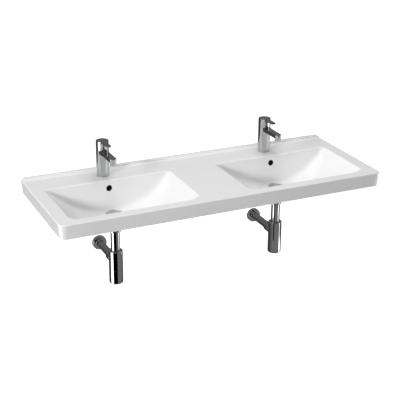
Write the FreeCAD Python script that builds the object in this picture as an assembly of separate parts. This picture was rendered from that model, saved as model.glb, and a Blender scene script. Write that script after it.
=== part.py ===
import FreeCAD, Part
import math
import os

# Wall-hung double washbasin with two single-lever mixers, two press-to-open
# wastes and two bottle traps. Millimetres. X runs to the right, Y towards the
# wall, Z up. The origin is on the wall plane, at the middle of the basin's
# length, level with the rim.

V = FreeCAD.Vector

# Ceramic body
side_deck = 50.5
middle_deck = 193.0
tap_deck = 138.0
front_deck = 39.0
apron_h = 56.0
apron_draft = 5.0
corner_r = 26.0
edge_r = 4.0
shell_t = 14.0
rib_t = 12.0
upstand_h = 8.5
upstand_t = 20.0
upstand_edge_r = 4.0
upstand_foot_run = 18.0
upstand_end_inset = 5.0
upstand_end_r = 8.0

# Bowls
bowl_w = 503.0
floor_l = 152.0
bowl_depth = 117.0
bowl_fall = 4.0
back_lean = 20.0
front_run = 136.0
back_fillet_r = 18.0
front_fillet_r = 50.0
rim_r = 6.0
bowl_t = 13.0

# Drain and overflow in the ceramic
drain_set = 57.0
drain_hole_r = 23.5
seat_r = 33.5
seat_drop = 4.0
boss_r = 38.0
boss_h = 32.0
overflow_r = 12.0
overflow_z = 31.0
duct_w = 38.0
duct_depth = 13.0
duct_wall = 8.0
duct_h = 12.0
duct_head = 18.0

# Wall bolt holes and tap holes in the ceramic
bolt_spacing = 280.0
bolt_hole_r = 7.0
bolt_z = 32.0
tap_set = 60.0
tap_hole_r = 17.5
tap_landing = 0.5

# Mixer body
tap_r = 24.5
tap_h = 105.0
base_seal_t = 1.0
base_seal_inset = 1.0
casting_t = 4.7
port_r = 4.75
port_bore_r = 3.0
port_x = 6.5
port_y = 4.0
port_l = 9.0
floor_t = 12.0
spout_w = 26.0
spout_t = 17.0
spout_reach = 116.0
spout_flare_r = 70.0
spout_edge_r = 3.0
spout_top_r = 0.8
waterway_r = 4.0
nose_drop = 4.5
stud_boss_r = 6.5

# Cartridge
cartridge_r = 17.4
cartridge_h = 27.0
cartridge_neck_r = 12.6
cartridge_neck_h = 8.0
cartridge_rim = 3.0
cartridge_waist_r = 16.2
cartridge_wall = 1.6
cartridge_floor = 10.0
water_hole_r = 2.2
disc_r = 13.0
disc_t = 3.0
moving_disc_r = 10.4
moving_disc_t = 6.0
mixing_w = 14.0
mixing_t = 1.0
mixing_y = 1.3
carrier_r = 9.5
stem_w = 6.0
stem_d = 8.0
stem_neck_d = 2.6
stem_tip_r = 2.0
stem_top = 30.0
stem_arm = 9.5
pin_r = 1.5
nut_thread_r = 19.0
nut_h = 5.0
dome_r = 20.0
dome_t = 1.2
dome_ledge = 1.5
dome_hole_r = 13.5
seat_seal_r = 3.9
seat_seal_h = 1.0

# Handle
handle_gap = 0.5
handle_h = 35.5
handle_wall = 2.6
handle_top_t = 4.0
handle_edge_r = 0.8
handle_lift_deg = 22.0
hub_r = 8.5
hub_clear = 1.2
blade_t = 5.6
blade_reach = 78.0
blade_w = 20.0
blade_end_w = 18.0
blade_tip_r = 2.5
blade_flare_r = 30.0
blade_under = 1.2
grub_r = 2.4
grub_l = 5.0
plug_face_r = 3.4
plug_face_t = 1.2

# Aerator
aerator_r = 12.0
aerator_neck_r = 10.4
aerator_wall = 1.1
aerator_drop = 3.5
aerator_neck_h = 8.0
aerator_core_h = 7.0
jet_r = 0.9
jet_ring_r = 5.6
jet_count = 8

# Mixer fixing under the deck
stud_r = 4.0
stud_y = 11.0
stud_l = 62.0
stud_grip = 14.0
clamp_r = 22.0
clamp_slot_w = 25.0
clamp_slot_y = 3.5
rubber_t = 3.0
plate_t = 2.5
fix_nut_af = 13.0
fix_nut_h = 22.0

# Waste
flange_r = 31.5
flange_t = 2.0
flange_seal_t = 1.2
waste_r = 20.9
waste_wall = 2.6
waste_l = 60.0
window_w = 9.0
spider_t = 4.0
spider_w = 3.2
spider_hub_r = 8.0
spider_drop = 42.0
cone_seal_h = 4.0
cone_seal_r = 29.0
back_nut_af = 56.0
back_nut_h = 8.0

# Plug
plug_r = 29.5
plug_t = 1.6
plug_dome = 0.9
plug_gap = 0.3
plug_spigot_r = 16.4
plug_spigot_h = 6.0
plug_ring_r = 1.3
plug_stem_r = 3.4
plug_stem_l = 40.0
latch_r = 5.8
latch_l = 28.0
latch_above = 11.0
latch_floor = 2.0
spring_r = 2.2
spring_wire_r = 0.4
spring_turns = 5

# Trap
tube_r = 18.0
tube_wall = 1.2
union_r = 23.3
union_h = 16.0
union_gap = 1.0
union_lip = 2.5
union_seal_t = 2.0
tube_flange_t = 1.6
bottle_r = 27.5
bottle_wall = 2.5
bottle_top = 267.5
bottle_bottom = 404.0
bottle_edge_r = 6.0
mouth_recess = 0.6
gland_h = 6.0
gland_seal_h = 4.5
shoulder_t = 3.0
shoulder_r = 19.5
cup_split = 345.0
cup_wall = 2.0
cup_spigot_h = 10.0
cup_seal_h = 1.6
cup_seal_t = 1.4
dip_clear = 26.0

# Outlet to the wall
outlet_z = 313.0
outlet_r = 15.0
outlet_wall = 1.0
outlet_end_r = 14.8
outlet_insert = 11.0
outlet_stub_r = 17.2
outlet_stub_l = 28.0
collar_r = 20.0
collar_l = 33.0
collar_lip = 3.0
outlet_seal_l = 4.0
pipe_beyond_wall = 20.0
cover_r = 29.0
cover_depth = 14.0
cover_wall = 1.2
cover_edge_r = 2.0
cover_neck_l = 2.0

# Clearances and overruns
run_clear = 0.08
fit_clear = 0.1
part_gap = 0.3
free_gap = 0.6
cut_over = 5.0
merge_depth = 7.0

os.makedirs("parts", exist_ok=True)


# Plain shapes

def rod(r, z0, z1, x=0, y=0):
    return Part.makeCylinder(r, z1 - z0, V(x, y, z0))


def ring(r_out, r_in, z0, z1, x=0, y=0):
    body = rod(r_out, z0, z1, x, y)
    return body.cut(rod(r_in, z0 - cut_over, z1 + cut_over, x, y))


def rod_y(r, y0, y1, x, z):
    return Part.makeCylinder(r, y1 - y0, V(x, y0, z), V(0, 1, 0))


def ring_y(r_out, r_in, y0, y1, x, z):
    body = rod_y(r_out, y0, y1, x, z)
    return body.cut(rod_y(r_in, y0 - cut_over, y1 + cut_over, x, z))


def rod_x(r, x0, x1, y, z):
    return Part.makeCylinder(r, x1 - x0, V(x0, y, z), V(1, 0, 0))


def block(x0, x1, y0, y1, z0, z1):
    return Part.makeBox(x1 - x0, y1 - y0, z1 - z0, V(x0, y0, z0))


def hexagon(across_flats, z0, z1, x=0, y=0):
    corner = across_flats / math.sqrt(3)
    points = []
    for step in range(6 + 1):
        turn = math.radians(60 * step)
        points.append(V(x + corner * math.cos(turn), y + corner * math.sin(turn), z0))
    return Part.Face(Part.makePolygon(points)).extrude(V(0, 0, z1 - z0))


def turned(points, x=0, y=0):
    """Solid of revolution about a vertical axis, from (radius, height) points."""
    corners = [V(x + r, y, z) for r, z in points]
    face = Part.Face(Part.makePolygon(corners + [corners[0]]))
    return face.revolve(V(x, y, 0), V(0, 0, 1), 360)


def in_yz(points, x0, x1):
    """Prism along X from a (y, z) outline."""
    corners = [V(x0, y, z) for y, z in points]
    return Part.Face(Part.makePolygon(corners + [corners[0]])).extrude(V(x1 - x0, 0, 0))


def rounded_outline(x0, x1, y0, y1, z, front_r):
    """Rectangle at height z whose two front corners (at y0) are rounded."""
    r = front_r
    k = r * (1 - math.sqrt(0.5))
    back_right = V(x1, y1, z)
    right_front = V(x1, y0 + r, z)
    front_right = V(x1 - r, y0, z)
    front_left = V(x0 + r, y0, z)
    left_front = V(x0, y0 + r, z)
    back_left = V(x0, y1, z)
    edges = [
        Part.LineSegment(back_left, back_right),
        Part.LineSegment(back_right, right_front),
        Part.Arc(right_front, V(x1 - k, y0 + k, z), front_right),
        Part.LineSegment(front_right, front_left),
        Part.Arc(front_left, V(x0 + k, y0 + k, z), left_front),
        Part.LineSegment(left_front, back_left),
    ]
    return Part.Wire([edge.toShape() for edge in edges])


def edges_where(shape, test):
    return [edge for edge in shape.Edges if test(edge)]


def fused(pieces):
    return pieces[0].multiFuse(pieces[1:]).removeSplitter()


def save(name, shapes):
    """Write one node: a single solid, or a group of separate like solids."""
    solids = shapes if isinstance(shapes, list) else [shapes]
    for solid in solids:
        if not solid.isValid() or solid.Volume <= 0:
            raise ValueError(name + " is not a sound solid")
    out = solids[0] if len(solids) == 1 else Part.makeCompound(solids)
    out.exportStep(os.path.join("parts", name + ".step"))
    count = sum(len(solid.Solids) for solid in solids)
    box = out.BoundBox
    print("%-26s %2d  x %7.1f %7.1f  y %7.1f %7.1f  z %7.1f %7.1f" % (
        name, count, box.XMin, box.XMax, box.YMin, box.YMax, box.ZMin, box.ZMax))


# Levels that several pieces share

basin_w = 2 * side_deck + 2 * bowl_w + middle_deck
bowl_x = (middle_deck + bowl_w) / 2
bowl_l = back_lean + floor_l + front_run
basin_d = tap_deck + bowl_l + front_deck
drain_y = tap_deck + drain_set
tap_y = tap_deck - tap_set
seat_z = -(bowl_depth + seat_drop)
boss_z = seat_z - boss_h
lever_pivot_z = tap_h
cartridge_z = tap_h - cartridge_h
chamber_r = cartridge_r + 2 * fit_clear
fixed_disc_top = cartridge_z + cartridge_floor + disc_t
discs_top = fixed_disc_top + moving_disc_t + 2 * part_gap
spout_z = tap_h - spout_t
nose_z = spout_z - nose_drop
underside_z = -shell_t


# The ceramic body

def bowl_form(x, grow):
    """The space of one bowl, or its outer skin when it is grown by the wall."""
    arc_r = ((bowl_w / 2) ** 2 + bowl_depth ** 2) / (2 * bowl_depth)
    centre_z = arc_r - bowl_depth
    r = arc_r + grow
    top = rim_r + cut_over
    half = math.sqrt(r ** 2 - (centre_z - top) ** 2)
    y_front = -(tap_deck + bowl_l)
    y0 = y_front - bowl_t - cut_over
    y1 = -tap_deck + bowl_t + cut_over
    slope = bowl_fall / bowl_l
    lift = slope * (-tap_deck - y0)
    left = V(x - half, y0, top + lift)
    right = V(x + half, y0, top + lift)
    lowest = V(x, y0, centre_z - r + lift)
    arc = Part.Arc(left, lowest, right).toShape()
    chord = Part.LineSegment(right, left).toShape()
    valley = Part.Face(Part.Wire([arc, chord])).extrude(V(0, y1 - y0, -slope * (y1 - y0)))

    low = -(bowl_depth + grow + 2 * cut_over)
    back_shift = grow * math.hypot(back_lean, bowl_depth) / bowl_depth
    front_shift = grow * math.hypot(front_run, bowl_depth) / bowl_depth

    def back_at(z):
        return -tap_deck + back_lean * z / bowl_depth + back_shift

    def front_at(z):
        return y_front - front_run * z / bowl_depth - front_shift

    roof = top + cut_over
    wedge = in_yz([(front_at(roof), roof), (front_at(low), low),
                   (back_at(low), low), (back_at(roof), roof)],
                  x - bowl_w, x + bowl_w)
    form = valley.common(wedge)
    middle_y = y_front + bowl_l / 2
    creases = edges_where(form, lambda e: e.BoundBox.ZMin < -bowl_depth / 2
                          and e.BoundBox.XLength > bowl_w / 2)
    backs = [e for e in creases if e.CenterOfMass.y > middle_y]
    form = form.makeFillet(back_fillet_r + grow, backs)
    creases = edges_where(form, lambda e: e.BoundBox.ZMin < -bowl_depth / 2
                          and e.BoundBox.XLength > bowl_w / 2
                          and e.BoundBox.YMax < middle_y)
    return form.makeFillet(front_fillet_r + grow, creases)


def back_skin_at(z):
    """Outer face of a bowl's back wall at height z."""
    shift = bowl_t * math.hypot(back_lean, bowl_depth) / bowl_depth
    return -tap_deck + back_lean * z / bowl_depth + shift


def duct_space(x):
    """Overflow passage from the hole in the bowl's back down to the drain."""
    half = duct_w / 2
    top = -duct_head
    low = boss_z + duct_wall
    high = low + duct_h
    drop = in_yz([(back_skin_at(top), top), (back_skin_at(low), low),
                  (back_skin_at(low) + duct_depth, low), (back_skin_at(top) + duct_depth, top)],
                 x - half, x + half)
    run = block(x - half, x + half, -drain_y, back_skin_at(low) + duct_depth, low, high)
    hole = rod_y(overflow_r, -tap_deck - back_lean, back_skin_at(-overflow_z) + duct_depth / 2,
                 x, -overflow_z)
    return fused([drop, run, hole])


def duct_cover(x):
    """Ceramic round the overflow passage, and the boss round the drain."""
    half = duct_w / 2 + duct_wall
    reach = duct_depth + duct_wall
    top = -merge_depth
    low = boss_z
    outline = [(back_skin_at(top) - bowl_t / 2, top), (back_skin_at(low) - bowl_t / 2, low),
               (back_skin_at(low) + reach, low), (back_skin_at(top) + reach, top)]
    drop = in_yz(outline, x - half, x + half)
    run = block(x - half, x + half, -drain_y, back_skin_at(low), low, -bowl_depth)
    boss = rod(boss_r, boss_z, -bowl_depth, x, -drain_y)
    return fused([drop, run, boss])


def upstand():
    """Low ledge along the wall, with a hollow-curved foot and rounded ends."""
    rise = upstand_h - upstand_edge_r
    foot_r = (upstand_foot_run ** 2 + rise ** 2) / (2 * rise)
    foot_y = -(upstand_t + upstand_foot_run)
    half_turn = math.asin(upstand_foot_run / foot_r) / 2
    mid_foot = V(0, foot_y + foot_r * math.sin(half_turn), foot_r * (1 - math.cos(half_turn)))
    k = upstand_edge_r * (1 - math.sqrt(0.5))
    a = V(0, 0, -merge_depth)
    b = V(0, 0, upstand_h)
    c = V(0, -(upstand_t - upstand_edge_r), upstand_h)
    mid_edge = V(0, -upstand_t + k, upstand_h - k)
    d = V(0, -upstand_t, rise)
    e = V(0, foot_y, 0)
    f = V(0, foot_y, -merge_depth)
    edges = [Part.LineSegment(a, b), Part.LineSegment(b, c), Part.Arc(c, mid_edge, d),
             Part.Arc(d, mid_foot, e), Part.LineSegment(e, f), Part.LineSegment(f, a)]
    half = basin_w / 2 - upstand_end_inset
    profile = Part.Face(Part.Wire([edge.toShape() for edge in edges]))
    profile.translate(V(-half, 0, 0))
    ledge = profile.extrude(V(2 * half, 0, 0))
    ends = block(-half, half, foot_y - cut_over, cut_over, -merge_depth - cut_over, upstand_h)
    tops = edges_where(ends, lambda edge: edge.BoundBox.ZMin > 0 and edge.BoundBox.XLength < edge_r)
    return ledge.common(ends.makeFillet(upstand_end_r, tops))


def washbasin():
    half = basin_w / 2
    top = rounded_outline(-half, half, -basin_d, merge_depth, 0, corner_r)
    bottom = rounded_outline(-half + apron_draft, half - apron_draft, -basin_d + apron_draft,
                             merge_depth, -apron_h, corner_r - apron_draft)
    low = -apron_h - cut_over
    slab = Part.makeLoft([bottom, top], True, True)
    slab = slab.cut(block(-half - cut_over, half + cut_over, 0, 2 * merge_depth, low, cut_over))
    rounded = edges_where(slab, lambda e: e.BoundBox.ZMin > -edge_r and e.BoundBox.YMin < -edge_r)
    slab = slab.makeFillet(edge_r, rounded)

    inner_top = rounded_outline(-half + shell_t, half - shell_t, -basin_d + shell_t, merge_depth,
                                underside_z, corner_r - shell_t)
    inner_low = rounded_outline(-half + shell_t + apron_draft, half - shell_t - apron_draft,
                                -basin_d + shell_t + apron_draft, merge_depth, low,
                                corner_r - shell_t)
    hollow = Part.makeLoft([inner_low, inner_top], True, True)
    hollow = hollow.cut(block(-half, half, -shell_t, 2 * merge_depth, low - cut_over, 0))
    rib = block(-rib_t / 2, rib_t / 2, -basin_d + shell_t / 2, -shell_t / 2, -apron_h, -merge_depth)
    hollow = hollow.cut(rib)
    body = slab.cut(hollow).fuse(upstand())

    keep = block(-half, half, -basin_d, 0, boss_z - cut_over, -merge_depth)
    adds = []
    cuts = []
    for side in (-1, 1):
        x = side * bowl_x
        adds += [bowl_form(x, bowl_t).common(keep), duct_cover(x)]
        cuts += [bowl_form(x, 0), duct_space(x)]
        cuts.append(rod(drain_hole_r, boss_z - cut_over, 0, x, -drain_y))
        cuts.append(rod(seat_r, seat_z, -bowl_depth / 2, x, -drain_y))
        cuts.append(rod(tap_hole_r, -shell_t - cut_over, cut_over, x, -tap_y))
        cuts.append(rod(tap_r + tap_landing, 0, upstand_h + cut_over, x, -tap_y))
        for bolt_side in (-1, 1):
            bolt_x = x + bolt_side * bolt_spacing / 2
            cuts.append(rod_y(bolt_hole_r, -shell_t - cut_over, cut_over, bolt_x, -bolt_z))
    body = body.multiFuse(adds)
    for cut in cuts:
        body = body.cut(cut)
    body = body.removeSplitter()

    reach = tap_deck + bowl_l + cut_over
    rims = edges_where(body, lambda e: abs(e.BoundBox.ZMin) < fit_clear and e.BoundBox.ZMax < fit_clear
                       and e.BoundBox.YMin > -reach and e.BoundBox.YMax < -tap_deck + cut_over
                       and abs(e.CenterOfMass.x) < bowl_x + bowl_w / 2 + cut_over
                       and abs(e.CenterOfMass.x) > bowl_x - bowl_w / 2 - cut_over)
    return body.makeFillet(rim_r, rims)


# The mixers

def flared_bar(root_r, half_root, corners, flare_r, z0, z1):
    """Plan shape of a bar that leaves a round body in two hollow curves.

    half_root is its half width where the curves end. The corners that follow
    are (half width, distance from the body's axis) pairs. Where the last half
    width is zero, the bar ends in a half circle as wide as the bar.
    """
    start = math.sqrt((root_r + flare_r) ** 2 - (half_root + flare_r) ** 2)
    share = flare_r / (root_r + flare_r)
    centre = V(half_root + flare_r, -start, z0)
    touch = V(centre.x * (1 - share), centre.y * (1 - share), z0)
    middle_turn = (math.atan2(touch.y - centre.y, touch.x - centre.x) + math.pi) / 2
    middle = centre + V(flare_r * math.cos(middle_turn), flare_r * math.sin(middle_turn), 0)
    bend = V(half_root, -start, z0)

    def other(p):
        return V(-p.x, p.y, p.z)

    line = [bend] + [V(half, -away, z0) for half, away in corners if half > 0]
    edges = [Part.Arc(touch, middle, bend)]
    edges += [Part.LineSegment(p, q) for p, q in zip(line, line[1:])]
    last = line[-1]
    if corners[-1][0] == 0:
        edges.append(Part.Arc(last, V(0, -corners[-1][1], z0), other(last)))
    else:
        edges.append(Part.LineSegment(last, other(last)))
    back = [other(p) for p in reversed(line)]
    edges += [Part.LineSegment(p, q) for p, q in zip(back, back[1:])]
    edges += [Part.Arc(other(bend), other(middle), other(touch)), Part.LineSegment(other(touch), touch)]
    face = Part.Face(Part.Wire([edge.toShape() for edge in edges]))
    return face.extrude(V(0, 0, z1 - z0))


def mixer_body():
    barrel = rod(tap_r, base_seal_t, tap_h)
    half = spout_w / 2
    bar = flared_bar(tap_r, half, [(half, spout_reach), (0, spout_reach + half)],
                     spout_flare_r, spout_z, tap_h)
    lower = edges_where(bar, lambda e: e.BoundBox.ZMax < spout_z + run_clear and e.BoundBox.YMin < -tap_r)
    bar = bar.makeFillet(spout_edge_r, lower)
    upper = edges_where(bar, lambda e: e.BoundBox.ZMin > tap_h - run_clear and e.BoundBox.YMin < -tap_r)
    bar = bar.makeFillet(spout_top_r, upper)
    nose = rod(half, nose_z, spout_z + spout_t / 2, 0, -spout_reach)
    body = fused([barrel, bar, nose])

    ports_z = cartridge_z - floor_t
    body = body.cut(rod(tap_r - casting_t, 0, ports_z))
    boss = rod(stud_boss_r, base_seal_t, ports_z + merge_depth, 0, stud_y)
    wall_link = block(-stud_boss_r / 2, stud_boss_r / 2, stud_y, tap_r - casting_t / 2,
                      base_seal_t, ports_z + merge_depth)
    body = body.fuse(boss.fuse(wall_link)).removeSplitter()
    body = body.cut(rod(stud_r + run_clear, 0, base_seal_t + stud_grip + cut_over, 0, stud_y))
    for side in (-1, 1):
        body = body.cut(rod(port_r, ports_z - cut_over, ports_z + port_l, side * port_x, -port_y))
        body = body.cut(rod(port_bore_r, ports_z, cartridge_z + cut_over, side * port_x, -port_y))
        body = body.cut(rod(seat_seal_r, cartridge_z - seat_seal_h, cartridge_z + cut_over,
                            side * port_x, -port_y))
    body = body.cut(rod(chamber_r, cartridge_z, tap_h + cut_over))
    body = body.cut(rod(nut_thread_r, tap_h - nut_h - cartridge_rim / 2, tap_h + cut_over))
    body = body.cut(rod(dome_r + run_clear, tap_h - dome_ledge, tap_h + cut_over))
    duct_z = spout_z + spout_t / 2 - cartridge_rim / 2
    body = body.cut(rod_y(waterway_r, -spout_reach, -chamber_r + cut_over, 0, duct_z))
    body = body.cut(rod(aerator_neck_r + fit_clear, nose_z - cut_over, duct_z + waterway_r, 0, -spout_reach))
    return body.removeSplitter()


def cartridge_housing():
    z = cartridge_z
    shoulder = tap_h - nut_h
    neck_top = shoulder + cartridge_neck_h
    body = turned([(0, z), (cartridge_r, z), (cartridge_r, z + cartridge_rim),
                   (cartridge_waist_r, z + cartridge_rim), (cartridge_waist_r, shoulder - cartridge_rim),
                   (cartridge_r, shoulder - cartridge_rim), (cartridge_r, shoulder),
                   (cartridge_neck_r, shoulder), (cartridge_neck_r, neck_top), (0, neck_top)])
    body = body.cut(rod(cartridge_waist_r - cartridge_wall, z + cartridge_floor, discs_top))
    body = body.cut(rod(carrier_r + run_clear, z + cartridge_floor, neck_top + cut_over))
    for side in (-1, 1):
        hole = rod(water_hole_r, z - cut_over, discs_top, side * port_x, -port_y)
        window = block(side * cartridge_waist_r - cut_over, side * cartridge_waist_r + cut_over,
                       -waterway_r, waterway_r, fixed_disc_top + part_gap, shoulder - cartridge_rim)
        body = body.cut(hole).cut(window)
    return body


def cartridge_seals():
    z0 = cartridge_z - seat_seal_h
    return [ring(seat_seal_r, port_bore_r, z0, cartridge_z, side * port_x, -port_y) for side in (-1, 1)]


def fixed_disc():
    disc = rod(disc_r, fixed_disc_top - disc_t, fixed_disc_top)
    for side in (-1, 1):
        disc = disc.cut(rod(water_hole_r, cartridge_z, tap_h, side * port_x, -port_y))
    return disc


def moving_disc():
    z = fixed_disc_top + part_gap
    disc = rod(moving_disc_r, z, z + moving_disc_t)
    pocket_y = stem_tip_r + 2 * fit_clear
    pocket = block(-stem_w / 2 - fit_clear, stem_w / 2 + fit_clear, -pocket_y, pocket_y,
                   lever_pivot_z - stem_arm - stem_tip_r - part_gap, z + moving_disc_t + cut_over)
    mixing = block(-mixing_w / 2, mixing_w / 2, -mixing_y, moving_disc_r + cut_over,
                   z - cut_over, z + mixing_t)
    return disc.cut(pocket).cut(mixing)


def cartridge_carrier():
    z0 = discs_top + part_gap
    z1 = tap_h - nut_h + cartridge_neck_h
    body = rod(carrier_r, z0, z1)
    slot = block(-stem_w / 2 - fit_clear, stem_w / 2 + fit_clear, -carrier_r - cut_over,
                 carrier_r - cartridge_wall, z0 - cut_over, z1 + cut_over)
    body = body.cut(slot)
    return body.cut(rod_x(pin_r, -carrier_r - cut_over, carrier_r + cut_over, 0, lever_pivot_z))


def hinge_pin():
    reach = math.sqrt(carrier_r ** 2 - pin_r ** 2)
    return rod_x(pin_r, -reach, reach, 0, lever_pivot_z)


def lever_stem():
    tip_z = lever_pivot_z - stem_arm
    half = stem_w / 2
    eye_r = stem_d / 2 - fit_clear
    eye = rod_x(eye_r, -half, half, 0, lever_pivot_z)
    upper = block(-half, half, -stem_d / 2, stem_d / 2, lever_pivot_z + eye_r / 2, lever_pivot_z + stem_top)
    lower = block(-half, half, -stem_neck_d / 2, stem_neck_d / 2, tip_z, lever_pivot_z)
    tip = rod_x(stem_tip_r, -half, half, 0, tip_z)
    stem = fused([eye, upper, lower, tip])
    return stem.cut(rod_x(pin_r + run_clear, -half - cut_over, half + cut_over, 0, lever_pivot_z))


def cartridge_nut():
    z1 = tap_h - dome_ledge
    nut = ring(nut_thread_r - fit_clear, cartridge_neck_r + 2 * fit_clear, tap_h - nut_h, z1)
    for turn in range(4):
        notch = block(cartridge_neck_r + 2 * cartridge_wall, nut_thread_r + cut_over,
                      -stem_tip_r, stem_tip_r, z1 - cartridge_wall, z1 + cut_over)
        notch.rotate(V(0, 0, 0), V(0, 0, 1), 90 * turn)
        nut = nut.cut(notch)
    return nut


def dome_cover():
    outer = Part.makeSphere(dome_r, V(0, 0, lever_pivot_z))
    inner = Part.makeSphere(dome_r - dome_t, V(0, 0, lever_pivot_z))
    above = rod(dome_r + cut_over, lever_pivot_z, lever_pivot_z + dome_r + cut_over)
    shell = outer.cut(inner).common(above)
    skirt = ring(dome_r, dome_r - dome_t, tap_h - dome_ledge, lever_pivot_z)
    cover = fused([shell, skirt])
    return cover.cut(rod(dome_hole_r, tap_h - dome_ledge - cut_over, lever_pivot_z + dome_r + cut_over))


def mixer_handle():
    z0 = tap_h + handle_gap
    z1 = z0 + handle_h
    corners = [(blade_end_w / 2, blade_reach)]
    blade = flared_bar(tap_r, blade_w / 2, corners, blade_flare_r, z1 - blade_t, z1)
    tips = edges_where(blade, lambda e: e.BoundBox.YMax < -blade_reach + run_clear
                       and e.BoundBox.XLength < run_clear)
    blade = blade.makeFillet(blade_tip_r, tips)
    lower = edges_where(blade, lambda e: e.BoundBox.ZMax < z1 - blade_t + run_clear
                        and e.BoundBox.YMin < -tap_r)
    blade = blade.makeChamfer(blade_under, lower)
    body = fused([rod(tap_r, z0, z1), blade])
    crown = edges_where(body, lambda e: e.BoundBox.ZMin > z1 - run_clear)
    body = body.makeFillet(handle_edge_r, crown)
    inside = rod(tap_r - handle_wall, z0 - cut_over, z1 - handle_top_t)
    hub_z = lever_pivot_z + dome_r + hub_clear
    hub = rod(hub_r, hub_z, z1 - handle_top_t)
    body = body.cut(inside.cut(hub))
    socket = block(-stem_w / 2 - fit_clear, stem_w / 2 + fit_clear, -stem_d / 2 - fit_clear,
                   stem_d / 2 + fit_clear, hub_z - cut_over, lever_pivot_z + stem_top + part_gap)
    body = body.cut(socket)
    rise = math.tan(math.radians(handle_lift_deg)) * (tap_r + cut_over)
    relief = in_yz([(0, z0 - cut_over), (0, z0), (tap_r + cut_over, z0 + rise),
                    (tap_r + cut_over, z0 - cut_over)], -tap_r - cut_over, tap_r + cut_over)
    body = body.cut(relief)
    screw_z = grub_height()
    body = body.cut(rod_y(grub_r + run_clear, 0, tap_r, 0, screw_z))
    face_y = tap_r - plug_face_t
    return body.cut(rod_y(plug_face_r + run_clear, face_y, tap_r + cut_over, 0, screw_z)).removeSplitter()


def grub_height():
    hub_z = lever_pivot_z + dome_r + hub_clear
    return (hub_z + lever_pivot_z + stem_top) / 2


def handle_screw():
    start = stem_d / 2 + part_gap / 3
    screw = rod_y(grub_r, start, start + grub_l, 0, grub_height())
    return screw.cut(rod_y(grub_r / 2, start + grub_l / 2, start + grub_l + cut_over, 0, grub_height()))


def handle_plug():
    z = grub_height()
    face_y = tap_r - plug_face_t
    inside_cap = rod(tap_r - run_clear, z - cut_over, z + cut_over)
    face = rod_y(plug_face_r, face_y, tap_r + cut_over, 0, z).common(inside_cap)
    post = rod_y(grub_r, tap_r - 2 * handle_wall, face_y + plug_face_t / 2, 0, z)
    return face.fuse(post).removeSplitter()


def aerator_housing():
    z0 = nose_z - aerator_drop
    neck_top = nose_z + aerator_neck_h
    shell = turned([(0, z0), (aerator_r, z0), (aerator_r, nose_z - run_clear),
                    (aerator_neck_r, nose_z - run_clear), (aerator_neck_r, neck_top), (0, neck_top)])
    bore = aerator_neck_r - aerator_wall
    shell = shell.cut(rod(bore, z0 + aerator_wall, neck_top + cut_over))
    shell = shell.cut(rod(bore - aerator_wall, z0 - cut_over, z0 + cut_over))
    rounded = edges_where(shell, lambda e: e.BoundBox.ZMax < z0 + run_clear and e.BoundBox.XLength > 2 * bore)
    shell = shell.makeFillet(aerator_wall / 2, rounded)
    shell.translate(V(0, -spout_reach, 0))
    return shell


def aerator_insert():
    z0 = nose_z - aerator_drop + aerator_wall
    core = rod(aerator_neck_r - aerator_wall - run_clear, z0, z0 + aerator_core_h)
    for step in range(jet_count):
        turn = 2 * math.pi * step / jet_count
        x = jet_ring_r * math.cos(turn)
        y = jet_ring_r * math.sin(turn)
        core = core.cut(rod(jet_r, z0 - cut_over, z0 + aerator_core_h + cut_over, x, y))
    core = core.cut(rod(jet_r, z0 - cut_over, z0 + aerator_core_h + cut_over))
    core.translate(V(0, -spout_reach, 0))
    return core


# What holds a mixer to the deck

def base_seal():
    seal = ring(tap_r - base_seal_inset, tap_hole_r, 0, base_seal_t)
    return seal


def fixing_stud():
    top = base_seal_t + stud_grip
    return rod(stud_r, top - stud_l, top, 0, stud_y)


def horseshoe(z0, z1):
    plate = rod(clamp_r, z0, z1)
    slot = block(-clamp_slot_w / 2, clamp_slot_w / 2, -clamp_r - cut_over, clamp_slot_y,
                 z0 - cut_over, z1 + cut_over)
    plate = plate.cut(slot)
    return plate.cut(rod(stud_r + part_gap, z0 - cut_over, z1 + cut_over, 0, stud_y))


def rubber_horseshoe():
    return horseshoe(underside_z - rubber_t, underside_z)


def steel_horseshoe():
    return horseshoe(underside_z - rubber_t - plate_t, underside_z - rubber_t)


def fixing_nut():
    z1 = underside_z - rubber_t - plate_t
    nut = hexagon(fix_nut_af, z1 - fix_nut_h, z1, 0, stud_y)
    return nut.cut(rod(stud_r + run_clear, z1 - fix_nut_h - cut_over, z1 + cut_over, 0, stud_y))


# The wastes

flange_z = seat_z + flange_seal_t
flange_top = flange_z + flange_t
waste_end = flange_z - waste_l
waste_bore_r = waste_r - waste_wall
spider_z = flange_top - spider_drop
latch_top = spider_z + spider_t + latch_above
plug_ring_major = waste_bore_r - part_gap - plug_ring_r


def waste_body():
    body = turned([(waste_bore_r, flange_top), (flange_r, flange_top), (flange_r, flange_z),
                   (waste_r, flange_z), (waste_r, waste_end), (waste_bore_r, waste_end)])
    hub = rod(spider_hub_r, spider_z, spider_z + spider_t)
    arm_a = block(-waste_bore_r - waste_wall / 2, waste_bore_r + waste_wall / 2, -spider_w / 2,
                  spider_w / 2, spider_z, spider_z + spider_t)
    arm_b = block(-spider_w / 2, spider_w / 2, -waste_bore_r - waste_wall / 2,
                  waste_bore_r + waste_wall / 2, spider_z, spider_z + spider_t)
    body = fused([body, hub, arm_a, arm_b])
    body = body.cut(rod(latch_r + run_clear, spider_z - cut_over, spider_z + spider_t + cut_over))
    low = boss_z + duct_wall
    for turn in range(4):
        window = block(waste_bore_r - waste_wall, waste_r + waste_wall, -window_w / 2, window_w / 2,
                       low, low + duct_h)
        window.rotate(V(0, 0, 0), V(0, 0, 1), 90 * turn)
        body = body.cut(window)
    return body


def flange_seal():
    return ring(flange_r - base_seal_inset, waste_r + fit_clear, seat_z, flange_z)


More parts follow.
